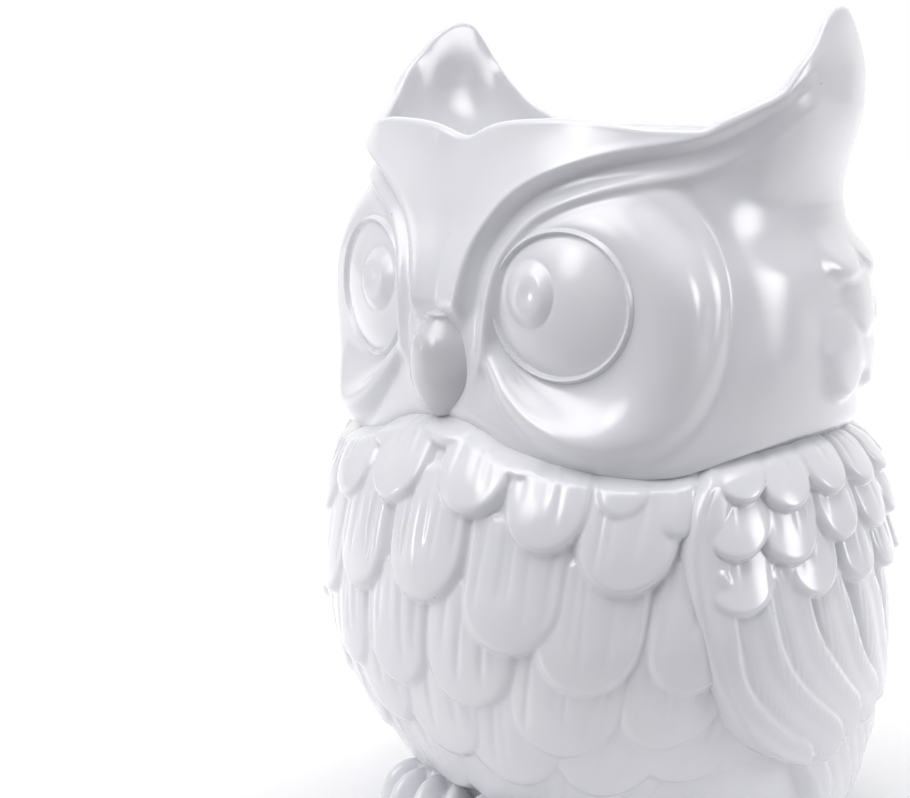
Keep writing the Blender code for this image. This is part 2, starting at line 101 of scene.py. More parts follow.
def hermite(points):
    """Curve through (x, y) points that never overshoots them, held level outside them."""
    xs, ys = np.array(points, float).T
    step = np.diff(ys) / np.diff(xs)
    slope = np.zeros(len(xs))
    for i in range(1, len(xs) - 1):
        if step[i - 1] * step[i] > 0.0:
            slope[i] = 2.0 * step[i - 1] * step[i] / (step[i - 1] + step[i])

    def at(x):
        x = np.clip(x, xs[0], xs[-1])
        i = np.clip(np.searchsorted(xs, x) - 1, 0, len(xs) - 2)
        h = xs[i + 1] - xs[i]
        t = (x - xs[i]) / h
        low = (1.0 + 2.0 * t) * (1.0 - t) ** 2 * ys[i] + t * (1.0 - t) ** 2 * h * slope[i]
        high = t * t * (3.0 - 2.0 * t) * ys[i + 1] + t * t * (t - 1.0) * h * slope[i + 1]
        return low + high

    return at


def soften(field, rounds):
    """Spread a height field over its neighbours, as a thick glaze does."""
    for _ in range(rounds):
        for axis in (0, 1):
            before = np.roll(field, 1, axis)
            after = np.roll(field, -1, axis)
            edge = [slice(None), slice(None)]
            edge[axis] = 0
            before[tuple(edge)] = field[tuple(edge)]
            edge[axis] = -1
            after[tuple(edge)] = field[tuple(edge)]
            field = 0.25 * before + 0.5 * field + 0.25 * after
    return field


def polar(turn, radius, z):
    a = np.radians(turn)
    return np.stack(np.broadcast_arrays(np.sin(a) * radius, -np.cos(a) * radius, z), axis=-1)


def along(line, across, height):
    """Distance to the left of a line in the unrolled plane, and distance along it from its start."""
    line = np.asarray(line, float)
    length = np.concatenate([[0.0], np.cumsum(np.hypot(*np.diff(line, axis=0).T))])
    direction = np.gradient(line, axis=0)
    direction /= np.hypot(*direction.T)[:, None]
    best = np.full(across.shape, 1e9)
    side = np.zeros(across.shape)
    run = np.zeros(across.shape)
    for point, way, here in zip(line, direction, length):
        dx, dz = across - point[0], height - point[1]
        far = dx * dx + dz * dz
        near = far < best
        best[near] = far[near]
        side[near] = (way[0] * dz - way[1] * dx)[near]
        run[near] = (here + way[0] * dx + way[1] * dz)[near]
    return np.sign(side) * np.sqrt(best), run, length[-1]


def grid_object(name, points, wrap_across=False, wrap_down=False, flip=False):
    """Mesh object from a grid of points in millimetres, smooth shaded."""
    rows, columns = points.shape[:2]
    index = np.arange(rows * columns).reshape(rows, columns)
    if wrap_across:
        index = np.concatenate([index, index[:, :1]], axis=1)
    if wrap_down:
        index = np.concatenate([index, index[:1]], axis=0)
    quads = np.stack([index[:-1, :-1], index[:-1, 1:], index[1:, 1:], index[1:, :-1]], axis=-1)
    quads = quads.reshape(-1, 4)
    if flip:
        quads = quads[:, ::-1]
    mesh = bpy.data.meshes.new(name)
    mesh.vertices.add(rows * columns)
    mesh.vertices.foreach_set("co", (points.reshape(-1) * MM).astype(np.float32))
    mesh.loops.add(quads.size)
    mesh.loops.foreach_set("vertex_index", quads.reshape(-1).astype(np.int32))
    mesh.polygons.add(len(quads))
    mesh.polygons.foreach_set("loop_start", np.arange(0, quads.size, 4, dtype=np.int32))
    mesh.update(calc_edges=True)
    mesh.validate()
    mesh.shade_smooth()
    obj = bpy.data.objects.new(name, mesh)
    bpy.context.scene.collection.objects.link(obj)
    return obj


def close_poles(obj):
    """Fill the rings left at a grid's two ends and merge what coincides."""
    bm = bmesh.new()
    bm.from_mesh(obj.data)
    bmesh.ops.remove_doubles(bm, verts=bm.verts, dist=1e-6)
    rim = [e for e in bm.edges if e.is_boundary]
    bmesh.ops.holes_fill(bm, edges=rim, sides=0)
    bmesh.ops.recalc_face_normals(bm, faces=bm.faces)
    bm.to_mesh(obj.data)
    bm.free()
    obj.data.shade_smooth()


# ---- feathers ------------------------------------------------------------------------------------

def folds(lateral, up, width, length, count, seed):
    """A few uneven grooves running up a feather from its middle to its root."""
    dice = np.random.default_rng(seed)
    depth = np.zeros(lateral.shape)
    for place in np.linspace(-0.62, 0.62, count):
        middle = (place + dice.uniform(-0.12, 0.12)) * width
        spread = dice.uniform(0.8, 1.5)
        start = dice.uniform(0.16, 0.42) * length
        deep = dice.uniform(0.25, 0.62)
        lean = dice.uniform(-0.06, 0.06)
        groove = np.exp(-((lateral - middle - lean * up) / spread) ** 2)
        depth += deep * groove * smooth(up, start, start + 9.0)
    return depth


def feather(field, lateral, up, width, length, lift, tip=1.2, edge=4.2, crown=1.5, count=5, seed=0):
    """Lay one feather into a height field.

    lateral and up are distances across the feather and up from its tip. The feather is highest near
    its tip and sinks towards its root, where the row above covers it.
    """
    reach = width * tip
    nose = np.clip(reach - up, 0.0, None) / reach
    outline = np.sqrt((lateral / width) ** 2 + nose ** 2)
    depth = (1.0 - outline) * width
    inside = (depth > -0.6) & (up < length) & (up > -1.0)
    rise = np.clip((depth + 0.6) / edge, 0.0, 1.0)
    pillow = 1.0 - (1.0 - rise) ** 2.3
    slab = lift * (1.0 - 0.94 * np.clip(up, 0.0, None) / length)
    arch = 1.0 - np.clip(lateral / width, -1.0, 1.0) ** 2
    dome = crown * arch * (0.55 + 0.45 * smooth(up, 0.0, 0.4 * length))
    rim = 0.34 * np.exp(-((depth - 1.5) / 0.9) ** 2)
    height = (slab + dome - folds(lateral, up, width, length, count, seed)) * pillow + rim * pillow
    field[inside] = np.maximum(field, height)[inside]


def body_plan(front_count, back_count):
    """Directions round the owl, with their own spacing in front and behind."""
    fine = np.linspace(-FRONT_TURN, FRONT_TURN, front_count, endpoint=False)
    coarse = np.linspace(FRONT_TURN, 360.0 - FRONT_TURN, back_count, endpoint=False)
    return np.concatenate([fine, coarse])


# ---- torso ---------------------------------------------------------------------------------------

BREAST = spline([(0, 55.0), (4, 56.0), (12, 58.8), (20.6, 62.6), (30, 69.4), (46, 80.6), (66, 91.2),
                 (82, 96.0), (97, 97.6), (119, 96.2), (135, 93.8), (146, 90.0), (156, 85.0), (170, 79.0)])
BACK = spline([(0, 87.0), (4, 88.5), (20, 91.5), (31, 93.0), (54, 95.0), (87, 96.2), (123, 94.8),
               (138, 91.2), (149, 85.5), (160, 81.0), (170, 78.0)])
CREASE = hermite([(0, 159), (8, 158), (14, 155.5), (20, 151.5), (28, 148.4), (38, 146.2), (46, 144.8),
                  (54, 145.2), (60, 147.0), (67, 149.8), (79, 152.6), (88, 153.6), (98, 153.6), (110, 152.5),
                  (125, 150), (150, 149), (180, 149)])


def torso_radius(turn, z):
    share = smooth(np.abs(turn), 55.0, 95.0)
    return BREAST(z) * (1.0 - share) + BACK(z) * share


BREAST_ROWS = [  # tips as (turn, height, half width), then length and lift of the row
    ([(5, 151, 12), (-13, 147, 12), (24, 144, 12), (43.5, 133, 9), (-30, 143, 12), (-44, 133, 10),
      (54, 127, 9), (-55, 126, 10)], 28, 3.6),
    ([(-5.5, 131, 13.8), (13.8, 131.4, 14), (29, 121.8, 14), (43.8, 109.6, 16.6), (-22, 127, 14.4),
      (-37, 116, 15), (-51, 108, 15)], 40, 4.9),
    ([(-13.5, 99, 14.5), (4.8, 101.6, 16), (23, 88.6, 17.2), (36.8, 76.5, 17), (56, 76.5, 15.5),
      (-29, 90, 16.5), (-44, 80, 16.5), (-59, 78, 15)], 44, 5.0),
    ([(-2.4, 69, 14.8), (14.6, 67.4, 16), (32.6, 51.6, 17.6), (52.4, 55.4, 16.6), (-19.5, 68, 15.5),
      (-36, 56, 17), (-54, 56, 16.5)], 44, 4.9),
    ([(-10, 51, 16), (6, 44, 15), (21, 36, 16), (41, 34, 17), (58.5, 39.8, 19), (-26, 40, 17), (-44, 35, 17),
      (-62, 40, 17)], 42, 4.6),
    ([(-18, 27, 14), (-3, 25, 14), (13, 21, 15), (31, 18, 16), (50, 18, 17), (66, 22, 17), (-34, 20, 15),
      (-54, 19, 16)], 36, 3.8),
]


def breast_feathers(turn, z):
    """Height of the breast feathers over the belly, row over row."""
    field = np.zeros(turn.shape)
    for level, (tips, length, lift) in enumerate(reversed(BREAST_ROWS)):
        for place, (angle, tip_z, width) in enumerate(tips):
            reach = float(torso_radius(np.array(0.0), np.array(float(tip_z + 8))))
            across = np.radians(turn - angle) * reach
            lateral = across - 0.10 * angle / 30.0 * (z - tip_z)
            feather(field, lateral, z - tip_z, width, length, lift, seed=10 * level + place)
    return field


def make_torso():
    turns = body_plan(400, 66)
    crease = CREASE(np.abs((turns + 180.0) % 360.0 - 180.0))
    share = np.linspace(0.0, 1.0, 200)[:, None]
    z = share * (crease + 5.0)
    turn = np.broadcast_to((turns + 180.0) % 360.0 - 180.0, z.shape)
    radius = torso_radius(turn, z)
    relief = soften(breast_feathers(turn, z), 1) * smooth(z, 0.0, 9.0)
    tuck = smooth(z, crease - 3.5, crease + 3.0) * 6.5
    outer = polar(turn, radius + relief - tuck, z)

    def ring(reach, height):
        return polar(turns, reach, np.full(turns.shape, float(height)))[None]

    flat = turn[0]
    rows = [outer]
    rows.append(polar(flat, torso_radius(flat, crease) - WALL, crease + 3.0)[None])
    for height in (148, 138, 124, 108, 92, 76, 60, 46, 34, 25, 19, 15):
        rows.append(ring(torso_radius(flat, np.full(flat.shape, float(height))) - WALL, height))
    floor = float(PLUG_LOW[2]) + 6.4
    rows.append(ring(torso_radius(flat, np.zeros(flat.shape)) - 13.0, floor + 0.6))
    rows.append(ring(torso_radius(flat, np.zeros(flat.shape)) - 16.0, floor))
    rows += [ring(7.2, floor), ring(6.5, floor - 0.7), ring(6.5, 4.4), ring(7.0, 4.0)]
    rows.append(ring(torso_radius(flat, np.zeros(flat.shape)) - 12.0, 4.0))
    rows.append(ring(torso_radius(flat, np.zeros(flat.shape)) - 10.5, 0.5))
    rows.append(ring(torso_radius(flat, np.zeros(flat.shape)) - 9.8, 0.0))
    points = np.concatenate(rows)
    return grid_object("torso", points, wrap_across=True, wrap_down=True)


# ---- head ----------------------------------------------------------------------------------------

HALF = spline([(140, 89.6), (148, 89.8), (156, 89.8), (165, 89.5), (180, 89.2), (195, 88.3), (207, 86.8),
               (222, 82.8), (235, 80.6), (253, 78.6), (275, 78.4), (295, 78.4)])
LIP_LINE = hermite([(0, 250.6), (3, 251.2), (6, 252.6), (10, 254.2), (13.4, 255.1), (20, 255.9), (29, 256.3),
                    (38.5, 255.4), (50, 253.2), (59.3, 252.9), (64.6, 256.3), (71.3, 260.7), (76.6, 264.8),
                    (81, 272.2), (86.2, 279.5), (91.1, 286.6), (96.4, 290.8), (99.5, TIP), (102, 290.8),
                    (105.5, 286), (109.5, 278), (114, 269), (120, 260), (129, 254.2), (145, 252.6),
                    (180, 252)])
CREST = spline([(-5, 4.6), (0, 5.4), (8, 6.3), (20, 7.9), (30, 10.2), (38, 13.4), (46, 17.6), (56, 24.0),
                (67, 31.5), (80, 40.5), (95, 50.6), (108, 59.2), (122, 68.0), (138, 76.5), (150, 82.0),
                (163, 89.5), (172, 95.5)])
CREST_Z = spline([(-5, 184), (0, 189), (8, 198.0), (20, 210.5), (30, 219.0), (38, 225.5), (46, 231.8),
                  (56, 237.8), (67, 242.2), (80, 245.8), (95, 248.2), (108, 250.6), (122, 256.0),
                  (138, 263.6), (150, 269.8), (163, 280.5), (172, 288.0)])
REACH = 84.0                             # radius at which the head is unrolled
FLARE = hermite([(0, 0), (48, 0), (60, 3.2), (66, 5.6), (72, 8.4), (78, 11.6), (86, 13.0), (99, 12.4),
                 (112, 10.4), (126, 6.8), (150, 1.6), (166, 0), (180, 0)])


def head_radius(turn, z):
    """Head without its carving: rounder behind, flatter in front, flared out into the ear tufts."""
    half = HALF(z)
    angle = np.radians(turn)
    ahead = smooth(np.cos(angle), -0.35, 0.45)
    depth = half * (1.0 - 0.075 * ahead)
    power = 2.1 + 0.3 * ahead
    side = np.abs(np.sin(angle) / half) ** power + np.abs(np.cos(angle) / depth) ** power
    around = np.abs(turn)
    outward = smooth(z, 226.0, 262.0) * (1.0 - 0.30 * smooth(z, 270.0, 293.0))
    temple = 2.4 * smooth(around, 58.0, 84.0) * smooth(z, 158.0, 182.0) * (1.0 - smooth(z, 206.0, 222.0))
    return side ** (-1.0 / power) + FLARE(around) * outward + temple


def eye_plane(turn):
    """Distance from the owl's axis to the plane of its eye, and how far along that plane."""
    angle = np.radians(np.abs(turn))
    normal = np.array([math.sin(EYE_SPLAY), -math.cos(EYE_SPLAY)])
    across = np.array([math.cos(EYE_SPLAY), math.sin(EYE_SPLAY)])
    facing = np.sin(angle) * normal[0] - np.cos(angle) * normal[1]
    reach = (EYE[:2] @ normal) / np.maximum(facing, 0.25)
    lateral = (np.sin(angle) * reach - EYE[0]) * across[0] + (-np.cos(angle) * reach - EYE[1]) * across[1]
    return reach, lateral


DISC_EDGE = [(10.5, 190), (13, 178), (18, 166), (26, 155), (37, 149), (50, 152.5), (59, 164), (64.5, 184),
             (65.5, 201), (63.5, 217), (58.5, 229)]


def disc_outline():
    """Distance from the eye's middle to the rim of the facial disc, by direction in the eye's plane."""
    turn, z = np.array(DISC_EDGE, float).T
    _, lateral = eye_plane(turn)
    toward = np.degrees(np.arctan2(z - EYE[2], lateral))
    rho = np.hypot(lateral, z - EYE[2])
    around = [(t, r) for t, r in zip(toward, rho) if -172.0 < t < 75.0]
    return hermite([(-180, 28.0)] + sorted(around) + [(100, 36.0), (127, 30.0), (157, 27.4), (180, 28.0)])


DISC = disc_outline()


def face(turn, z, radius):
    """Carve the brows, the eye sockets and the facial discs into the head."""
    around = np.sqrt(turn * turn + 1.2) - 0.35
    across = np.radians(around) * REACH
    steps = np.linspace(-5.0, 172.0, 178)
    line = np.stack([np.radians(CREST(steps)) * REACH, CREST_Z(steps)], axis=1)
    above, run, _ = along(line, across, z)
    fade = 1.0 - smooth(run, 62.0, 140.0)
    tail = 1.0 - smooth(run, 120.0, 172.0)
    down = -above
    forehead = 4.8 * np.exp(-(np.clip(above, 0.0, None) / 10.5) ** 1.6)
    forehead = forehead * (0.35 + 0.65 * fade) * tail
    drop = smooth(down, 0.0, 4.8)
    valley = forehead * (1.0 - drop) - (0.7 * fade + 0.3 * tail) * drop
    ridge = (3.0 * fade + 0.5 * tail) * np.exp(-((down - 10.6) / 2.3) ** 2)
    brow = np.where(above > 0.0, forehead, valley + ridge)
    brow = brow * (1.0 - smooth(down, 13.0, 26.0))
    crest_round = 0.9 * np.exp(-(above / 1.6) ** 2) * (0.4 + 0.6 * fade) * tail
    cleft = -2.0 * np.exp(-(across / 9.0) ** 2) * smooth(z, 228.0, 254.0)
    onset = smooth(z, 187.0, 199.0) + (1.0 - smooth(z, 187.0, 199.0)) * smooth(np.abs(turn), 9.0, 15.0)
    shaped = radius + (brow + crest_round) * onset + cleft

    plane, lateral = eye_plane(turn)
    v = z - EYE[2]
    rho = np.hypot(lateral, v)
    outer = DISC(np.degrees(np.arctan2(v, lateral)))
    q = np.clip((rho - EYE_R) / np.maximum(outer - EYE_R, 1.0), -1.0, 3.0)
    low = np.clip(-v / np.maximum(rho, 1.0), 0.0, 1.0)
    side = np.clip(lateral / np.maximum(rho, 1.0), 0.0, 1.0)
    inner = np.clip(-lateral / np.maximum(rho, 1.0), 0.0, 1.0)
    swell = (0.8 + 4.0 * low ** 1.1 + 1.6 * side * (1.0 - low)) * (1.0 - 0.55 * inner)
    bulge = smooth(q, 0.06, 0.68) * (1.0 - smooth(q, 0.70, 1.14))
    crease = -0.8 * np.exp(-((q - 1.03) / 0.13) ** 2) * np.clip(side + low, 0.0, 1.0)
    socket = 1.0 - smooth(rho, EYE_R - 0.5, np.maximum(outer * 0.86, EYE_R + 5.0))
    under_brow = smooth(down, 10.5, 16.0)
    near = np.abs(turn) < 80.0
    plane_mix = np.where(near, socket * under_brow, 0.0)
    sculpt = shaped * (1.0 - plane_mix) + (plane + 0.15) * plane_mix
    return sculpt + np.where(near, (swell * bulge + crease) * under_brow, 0.0)


NAPE_ROWS = [(164, 101.0), (184, 110.0), (203, 101.0)]   # tip height, turn of the foremost feather


def nape_feathers(turn, z):
    """Large rounded scales over the back of the head."""
    field = np.zeros(turn.shape)
    around = np.abs(turn)
    for level, (tip_z, first) in enumerate(NAPE_ROWS):
        for place, centre in enumerate(np.arange(first, 184.0, 18.0)):
            across = np.radians(around - centre) * 90.0
            feather(field, across, z - tip_z, 15.5, 30, 3.4, tip=1.1, edge=3.6, crown=0.9, count=3,
                    seed=200 + 10 * level + place)
    return field * smooth(around, 84.0, 96.0) * (1.0 - smooth(z, 208.0, 222.0))


def make_head():
    turns = body_plan(236, 190)
    turn = (turns + 180.0) % 360.0 - 180.0
    around = np.abs(turn)
    low = CREASE(around)
    top = LIP_LINE(around)
    share = np.concatenate([np.linspace(0.0, 1.0, 14, endpoint=False) ** 1.8 * 0.06,
                            np.linspace(0.06, 1.0, 180)])[:, None]
    z = low + (top - 2.0 - low) * share
    grid = np.broadcast_to(turn, z.shape)
    plain = head_radius(grid, z)
    carved = face(grid, z, plain) + soften(nape_feathers(grid, z), 2)
    carved = soften(carved - plain, 1) + plain
    curl = np.clip((z - low) / 5.0, 0.0, 1.0)
    tucked = carved - 3.4 * (1.0 - np.sqrt(1.0 - (1.0 - curl) ** 2))
    rows = [polar(grid, tucked, z)]
    edge = carved[-1]
    thick = 4.2 - 1.6 * smooth(top, LIP + 4.0, TIP)
    for bend in np.radians([25, 50, 75, 105, 130, 155, 180]):
        reach = edge - thick * (0.5 - 0.5 * math.cos(bend))
        rows.append(polar(turn, reach, top - 2.0 + 2.0 * math.sin(bend))[None])
    for part in np.linspace(0.04, 1.0, 26):
        height = (top - 2.0) + (NECK + 1.0 - (top - 2.0)) * part
        inner = head_radius(turn, height) - WALL * (0.84 + 0.16 * part)
        start = edge - thick
        mix = smooth(part, 0.0, 0.22)
        rows.append(polar(turn, start * (1.0 - mix) + inner * mix, height)[None])
    return grid_object("head", np.concatenate(rows), wrap_across=True, wrap_down=True)


# ---- eyes and beak -------------------------------------------------------------------------------

def make_eye(side):
    """Domed eye with a thin raised ring and a round boss for the pupil, set towards the beak."""
    spokes = np.linspace(0.0, 2.0 * math.pi, 168, endpoint=False)
    reach = np.concatenate([np.linspace(0.4, 21.0, 62), np.linspace(21.2, 25.2, 30)])[:, None]
    lateral = reach * np.cos(spokes)
    up = reach * np.sin(spokes)
    dome = 5.4 * np.clip(1.0 - (reach / 22.4) ** 2, 0.0, None) ** 0.92 * np.ones_like(lateral)
    ring = 1.5 * np.exp(-((reach - 23.3) / 0.72) ** 2) + 0.35 * smooth(reach, 22.0, 23.3)
    groove = -0.10 * np.exp(-((reach - 22.0) / 0.6) ** 2)
    skirt = -1.4 * smooth(reach, 24.1, 25.2)
    away = np.hypot((lateral - PUPIL[0]) * 1.14, (up - PUPIL[1]) * 0.95)
    boss = 0.8 * (1.0 - smooth(away, PUPIL_R - 4.4, PUPIL_R))
    boss = boss + 1.5 * np.clip(1.0 - (away / PUPIL_R) ** 2, 0.0, 1.0)
    boss = boss - 0.9 * np.exp(-(away / 3.6) ** 2)
    moat = -0.20 * np.exp(-((away - PUPIL_R - 0.3) / 0.9) ** 2)
    height = dome + ring + groove + skirt + (boss + moat) * (1.0 - smooth(reach, 21.0, 22.4))
    normal = np.array([math.sin(EYE_SPLAY) * side, -math.cos(EYE_SPLAY), 0.0])
    across = np.array([math.cos(EYE_SPLAY) * side, math.sin(EYE_SPLAY), 0.0])
    centre = EYE * np.array([side, 1.0, 1.0])
    points = centre + lateral[..., None] * across + up[..., None] * np.array([0.0, 0.0, 1.0])
    points = points + height[..., None] * normal
    back = points[-1:] - 1.4 * normal
    hub = centre - 1.4 * normal
    inner = hub + (back - hub) * 0.02
    obj = grid_object(("left" if side > 0 else "right") + "_eye", np.concatenate([points, back, inner]),
                      wrap_across=True)
    close_poles(obj)
    return obj


def make_beak():
    """Teardrop beak: broad and round above, drawn to a blunt point below."""
    low, high = BEAK_LOW[2] - 1.8, BEAK_HIGH[2] + 2.6
    share = (1.0 - np.cos(np.linspace(0.02, 1.0, 90) * math.pi)) / 2.0
    spokes = np.linspace(0.0, 2.0 * math.pi, 120, endpoint=False)
    z = high + (low - high) * share
    width = spline([(0.0, 0.0), (0.02, 3.4), (0.08, 6.8), (0.20, 9.6), (0.40, 12.4), (0.58, 13.0),
                    (0.75, 10.6), (0.89, 6.2), (0.97, 2.4), (1.0, 0.0)])(share)[:, None]
    depth = spline([(0.0, 0.0), (0.02, 4.6), (0.08, 7.6), (0.22, 10.4), (0.45, 11.8), (0.66, 11.2),
                    (0.83, 8.8), (0.94, 5.2), (1.0, 0.0)])(share)[:, None]
    x = width * np.sin(spokes) * (1.0 - 0.10 * np.cos(spokes))
    y = -79.2 - depth * np.cos(spokes) - 0.6 * share[:, None]
    points = np.stack(np.broadcast_arrays(x, y, z[:, None]), axis=-1)
    obj = grid_object("beak", points, wrap_across=True)
    close_poles(obj)
    return obj


# ---- wings and tail ------------------------------------------------------------------------------

WING = spline([(10, 95.2), (20.6, 95.8), (31, 96.8), (54, 98.6), (87, 99.6), (123, 97.2), (138, 94.6),
               (148, 90.5), (156, 86.0), (170, 78.0)])
FLIGHT = [  # shaft of each feather as (turn, height), half width, lift; the hindmost comes first
    (((146, 60), (150, 46), (156, 30), (159, 21)), 8.6, 0.2),
    (((133, 60), (138, 46), (144, 30), (147, 20)), 8.6, 0.5),
    (((121, 60), (126, 46), (132, 30), (135, 20)), 8.6, 0.8),
    (((110, 60), (115, 46), (121, 30), (124, 20)), 8.6, 1.1),
    (((99, 60), (104, 46), (110.5, 28), (113, 20)), 8.6, 1.4),
    (((90, 60), (95, 45), (101.5, 27), (104, 20)), 8.6, 1.7),
    (((80, 66), (84, 52), (89, 37), (94, 23)), 8.0, 2.0),
    (((154, 104), (158, 88), (162, 76), (167, 66), (172, 58)), 9.6, 2.2),
    (((141, 104), (145, 88), (149, 75), (154, 64), (159, 56)), 9.6, 2.6),
    (((128, 104), (132, 88), (136, 75), (141, 63), (146, 55)), 9.6, 3.0),
    (((115, 104), (119, 88), (123, 75), (128, 63), (133, 55)), 9.6, 3.4),
    (((102, 104), (106, 88), (110, 74.5), (115.8, 62), (121, 54)), 9.6, 3.8),
    (((88, 106), (91.5, 90), (96.3, 75.4), (102.2, 64.4), (110.8, 53)), 9.8, 4.2),
    (((77, 108), (79, 93), (83.1, 80), (89.9, 67), (96, 58), (101, 51.5)), 9.8, 4.7),
    (((68.5, 106), (69.5, 94), (73, 79), (80, 65.5), (87, 56), (93.5, 47.5)), 9.2, 5.2),
    (((61, 112), (62.2, 90), (64.6, 76), (70, 64), (77, 54.5), (84.5, 47.5)), 7.4, 5.7),
]
COVERTS = [  # tip turn, tip height, half width; the uppermost comes first
    (67.5, 136.5, 12), (78.2, 132.5, 12.6), (91, 135, 12.4), (105, 134, 12.4), (119, 134, 12.6),
    (134, 134, 12.8), (149, 134, 12.8), (165, 134, 12.8), (178, 134, 12),
    (65.5, 119, 14), (78, 115.5, 13.6), (92.5, 119.2, 12.8), (107, 118, 12.8), (121, 118, 12.8),
    (136, 118, 12.8), (151, 118, 12.8), (166, 118, 12.8),
    (66, 101.5, 14.8), (83.5, 103.6, 14.2), (98.8, 103.6, 12.8), (113, 102.5, 12.8), (128, 102, 12.8),
    (143, 102, 12.8), (158, 102, 12.8), (173, 102, 12.8),
]


def flight_feather(field, turn, z, shaft, width, lift):
    """One flight feather along a curved shaft, with fine barbs, its hind edge standing over the next."""
    knots = np.linspace(0.0, 1.0, len(shaft))
    t = np.linspace(0.0, 1.0, 60)
    turns = spline(list(zip(knots, [p[0] for p in shaft])))(t)
    heights = spline(list(zip(knots, [p[1] for p in shaft])))(t)
    way = np.stack([np.radians(turns) * 101.0, heights], axis=1)
    behind, run, length = along(way, np.radians(turn) * 101.0, z)
    up = length - run
    reach = width * 1.5
    nose = np.clip(reach - up, 0.0, None) / reach
    outline = np.sqrt((behind / width) ** 2 + nose ** 2)
    depth = (1.0 - outline) * width
    inside = (depth > -0.5) & (up > -1.0) & (run > -10.0)
    pillow = 1.0 - (1.0 - np.clip((depth + 0.5) / 3.0, 0.0, 1.0)) ** 2.4
    lean = 0.55 * behind / width
    phase = (np.radians(turn) * 101.0 + 0.22 * z) / 1.9 + 0.35 * np.sin(z / 7.0) + 0.8 * np.sin(behind / 2.7)
    barbs = 0.15 * np.sin(2.0 * math.pi * phase) * smooth(depth, 0.8, 2.4)
    valley = -0.45 * np.exp(-((behind - 0.1 * width) / (0.3 * width)) ** 2)
    height = (lift + lean + barbs + valley + 0.9 * (1.0 - (behind / width) ** 2)) * pillow
    field[inside] = np.maximum(field, height)[inside]


def wing_relief(turn, z):
    field = np.zeros(turn.shape)
    for shaft, width, lift in FLIGHT:
        flight_feather(field, turn, z, shaft, width, lift)
    for place, (angle, tip_z, width) in reversed(list(enumerate(COVERTS))):
        across = np.radians(turn - angle) * 100.0
        lateral = across - 0.10 * (z - tip_z)
        feather(field, lateral, z - tip_z, width, 27, 8.0, tip=0.92, edge=4.4, crown=1.5, count=3,
                seed=100 + place)
    return field


WING_FRONT = hermite([(16, 104), (21, 96), (27, 90), (33, 87), (40, 84.5), (46.5, 80.5), (50.7, 75),
                      (57, 69.1), (64, 64.8), (76.6, 60.6), (82.6, 59), (99, 56.4), (111, 54.9),
                      (123, 54.2), (134.4, 54.9), (144.5, 57.8), (152, 60.5), (170, 64.0)])
WING_START = 52.0                        # turns that a wing's grid spans
WING_END = 179.7
WING_LOW = 18.5                          # height of a wing's lower edge


def make_wing(side):
    across = np.concatenate([np.linspace(0.0, 0.5, 190, endpoint=False), np.linspace(0.5, 1.0, 100)])[None]
    share = np.linspace(0.0, 1.0, 240)[:, None]
    turn = WING_START + (WING_END - WING_START) * across
    top = CREASE(turn) + 4.0
    z = WING_LOW + (top - WING_LOW) * share
    turn = np.broadcast_to(turn, z.shape)
    relief = soften(wing_relief(turn, z), 1)
    front = WING_FRONT(z)
    behind = np.radians(turn - front) * 98.0
    edge = 1.0 - (1.0 - np.clip(behind / 6.5, 0.0, 1.0)) ** 2.4
    band = 5.0 + 1.6 * smooth(z, 96.0, 112.0) + 1.5 * np.exp(-((behind - 4.4) / 3.0) ** 2)
    band = band - 2.0 * smooth(behind, 8.0, 22.0)
    band = band * (1.0 - smooth(behind, 14.0, 30.0)) * smooth(z, 46.0, 58.0)
    relief = np.maximum(relief, np.where(behind > 0.0, band, 0.0))
    floor = torso_radius(turn, z) - 3.0
    haunch = 4.4 * np.exp(-((turn - 134.0) / 25.0) ** 2)
    haunch = haunch * smooth(z, 18.0, 44.0) * (1.0 - smooth(z, 128.0, 150.0))
    raised = WING(z) + relief + haunch - 2.2 - 1.6 * smooth(z, 92.0, 112.0)
    tuck = smooth(z, top - 9.0, top) * 7.0
    radius = floor + np.clip(raised - floor, 0.0, None) * edge - tuck
    turn_side = turn * side
    outer = polar(turn_side, radius, z)
    inner = polar(turn_side, floor - 1.2 - tuck, z)
    name = ("left" if side > 0 else "right") + "_wing"
    obj = grid_object(name, np.concatenate([outer, inner[::-1][::12]]), wrap_down=True, flip=side < 0)
    close_poles(obj)
    return obj


def make_tail():
    """Five overlapping tail feathers between the wing tips."""
    turn = np.linspace(146.0, 214.0, 150)[None]
    z = np.linspace(3.2, 70.0, 150)[:, None]
    grid = np.broadcast_to(turn, (150, 150))
    height = np.broadcast_to(z, (150, 150))
    field = np.full(grid.shape, -3.5)
    for place, centre in enumerate((154.5, 205.5, 167.0, 193.0, 180.0)):
        lateral = np.radians(grid - centre) * 96.0 + (centre - 180.0) * 0.006 * (height - 4.0)
        feather(field, lateral, height - 3.6, 11.5, 110, 1.6 + 0.45 * place, edge=3.4, crown=1.0,
                seed=300 + place)
    floor = torso_radius(grid, height) - 2.5
    radius = np.maximum(96.4 + soften(field, 2), floor)
    radius = floor + (radius - floor) * (1.0 - smooth(height, 62.0, 69.0))
    outer = polar(grid, radius, height)
    inner = polar(grid, floor - 1.5, height)[::-1][::10]
    obj = grid_object("tail", np.concatenate([outer, inner]), wrap_down=True)
    close_poles(obj)
    return obj


# ---- feet and plug -------------------------------------------------------------------------------

